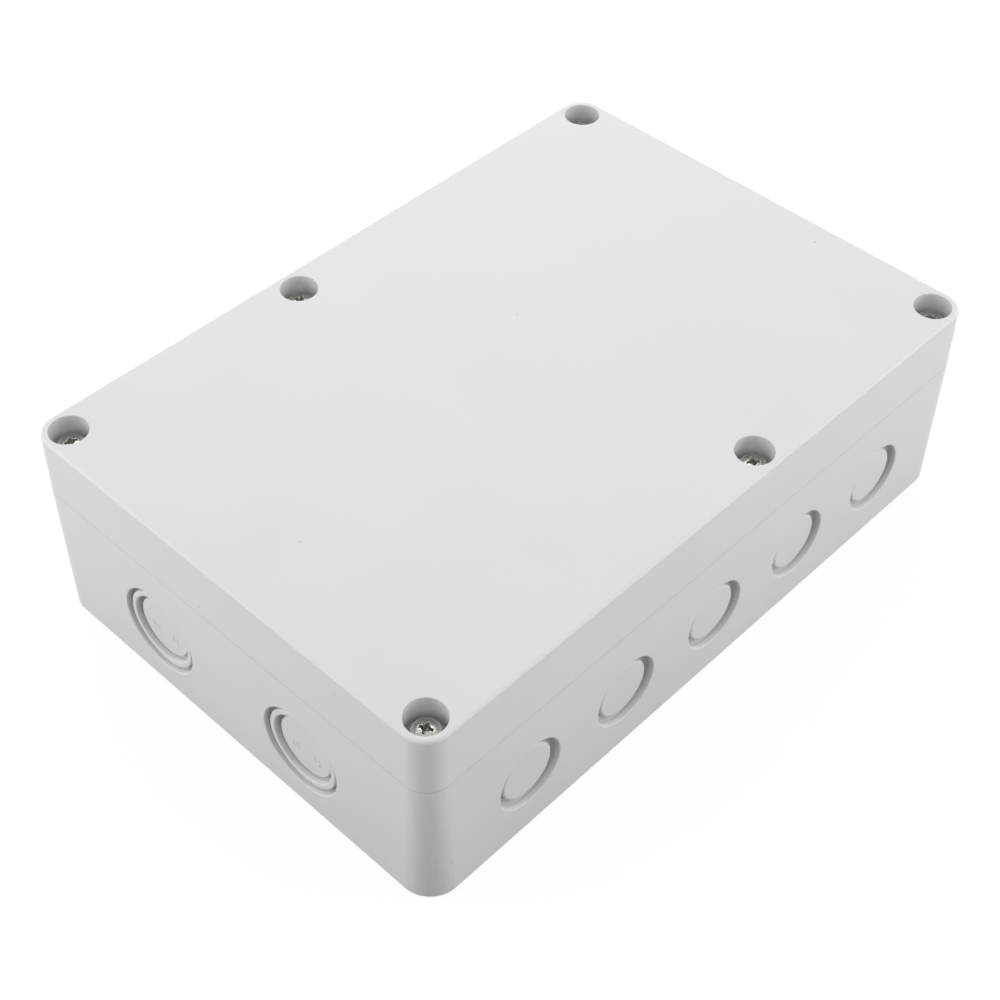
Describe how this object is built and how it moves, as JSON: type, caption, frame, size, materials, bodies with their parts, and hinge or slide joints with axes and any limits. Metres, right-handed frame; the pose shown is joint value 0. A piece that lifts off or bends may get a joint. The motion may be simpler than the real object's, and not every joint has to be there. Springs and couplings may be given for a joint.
{
  "type": "outdoor electrical enclosure",
  "caption": "Grey moulded plastic enclosure with a flat screwed-down lid in deep counterbores, a sealing gasket and round cable knock-outs in its four walls.",
  "frame": {"origin": "centre of the base's flat underside", "axes": "+X along the long side, +Y along the short side, +Z from the underside to the lid; the front is the long wall at -Y"},
  "size_m": [0.254, 0.175, 0.076],
  "materials": {
    "enclosure_plastic": "light grey, satin, very fine spark texture",
    "gasket_rubber": "dark foam rubber",
    "screw_steel": "zinc-plated steel, bright",
    "washer_rubber": "soft black rubber",
    "insert_brass": "turned brass"
  },
  "bodies": {
    "base": {"base": "enclosure_plastic", "threaded_insert_front_left": "insert_brass", "threaded_insert_front_right": "insert_brass", "threaded_insert_back_left": "insert_brass", "threaded_insert_back_right": "insert_brass", "threaded_insert_front_middle": "insert_brass", "threaded_insert_back_middle": "insert_brass"},
    "lid": {"lid": "enclosure_plastic", "gasket": "gasket_rubber"},
    "washer_front_left": {"captive_washer_front_left": "washer_rubber"},
    "screw_front_left": {"lid_screw_front_left": "screw_steel"},
    "washer_front_right": {"captive_washer_front_right": "washer_rubber"},
    "screw_front_right": {"lid_screw_front_right": "screw_steel"},
    "washer_back_left": {"captive_washer_back_left": "washer_rubber"},
    "screw_back_left": {"lid_screw_back_left": "screw_steel"},
    "washer_back_right": {"captive_washer_back_right": "washer_rubber"},
    "screw_back_right": {"lid_screw_back_right": "screw_steel"},
    "washer_front_middle": {"captive_washer_front_middle": "washer_rubber"},
    "screw_front_middle": {"lid_screw_front_middle": "screw_steel"},
    "washer_back_middle": {"captive_washer_back_middle": "washer_rubber"},
    "screw_back_middle": {"lid_screw_back_middle": "screw_steel"}
  },
  "joints": [
    {"name": "lid_lift", "type": "slide", "parent": "base", "child": "lid", "axis": [0, 0, 1], "range_m": [0, 0.09]},
    {"name": "screw_rise_front_left", "type": "slide", "parent": "lid", "child": "washer_front_left", "axis": [0, 0, 1], "range_m": [0, 0.0079]},
    {"name": "screw_turn_front_left", "type": "hinge", "parent": "washer_front_left", "child": "screw_front_left", "pos_m": [-0.1184, -0.0789, 0.053], "axis": [0, 0, 1], "range_deg": [0, 3556]},
    {"name": "screw_rise_front_right", "type": "slide", "parent": "lid", "child": "washer_front_right", "axis": [0, 0, 1], "range_m": [0, 0.0079]},
    {"name": "screw_turn_front_right", "type": "hinge", "parent": "washer_front_right", "child": "screw_front_right", "pos_m": [0.1184, -0.0789, 0.053], "axis": [0, 0, 1], "range_deg": [0, 3556]},
    {"name": "screw_rise_back_left", "type": "slide", "parent": "lid", "child": "washer_back_left", "axis": [0, 0, 1], "range_m": [0, 0.0079]},
    {"name": "screw_turn_back_left", "type": "hinge", "parent": "washer_back_left", "child": "screw_back_left", "pos_m": [-0.1184, 0.0789, 0.053], "axis": [0, 0, 1], "range_deg": [0, 3556]},
    {"name": "screw_rise_back_right", "type": "slide", "parent": "lid", "child": "washer_back_right", "axis": [0, 0, 1], "range_m": [0, 0.0079]},
    {"name": "screw_turn_back_right", "type": "hinge", "parent": "washer_back_right", "child": "screw_back_right", "pos_m": [0.1184, 0.0789, 0.053], "axis": [0, 0, 1], "range_deg": [0, 3556]},
    {"name": "screw_rise_front_middle", "type": "slide", "parent": "lid", "child": "washer_front_middle", "axis": [0, 0, 1], "range_m": [0, 0.0079]},
    {"name": "screw_turn_front_middle", "type": "hinge", "parent": "washer_front_middle", "child": "screw_front_middle", "pos_m": [0.02315, -0.0789, 0.053], "axis": [0, 0, 1], "range_deg": [0, 3556]},
    {"name": "screw_rise_back_middle", "type": "slide", "parent": "lid", "child": "washer_back_middle", "axis": [0, 0, 1], "range_m": [0, 0.0079]},
    {"name": "screw_turn_back_middle", "type": "hinge", "parent": "washer_back_middle", "child": "screw_back_middle", "pos_m": [-0.02315, 0.0789, 0.053], "axis": [0, 0, 1], "range_deg": [0, 3556]}
  ],
  "couplings": [
    {"joint": "screw_turn_front_left", "follows": "screw_rise_front_left", "rad_per_m": 7854},
    {"joint": "screw_turn_front_right", "follows": "screw_rise_front_right", "rad_per_m": 7854},
    {"joint": "screw_turn_back_left", "follows": "screw_rise_back_left", "rad_per_m": 7854},
    {"joint": "screw_turn_back_right", "follows": "screw_rise_back_right", "rad_per_m": 7854},
    {"joint": "screw_turn_front_middle", "follows": "screw_rise_front_middle", "rad_per_m": 7854},
    {"joint": "screw_turn_back_middle", "follows": "screw_rise_back_middle", "rad_per_m": 7854}
  ]
}
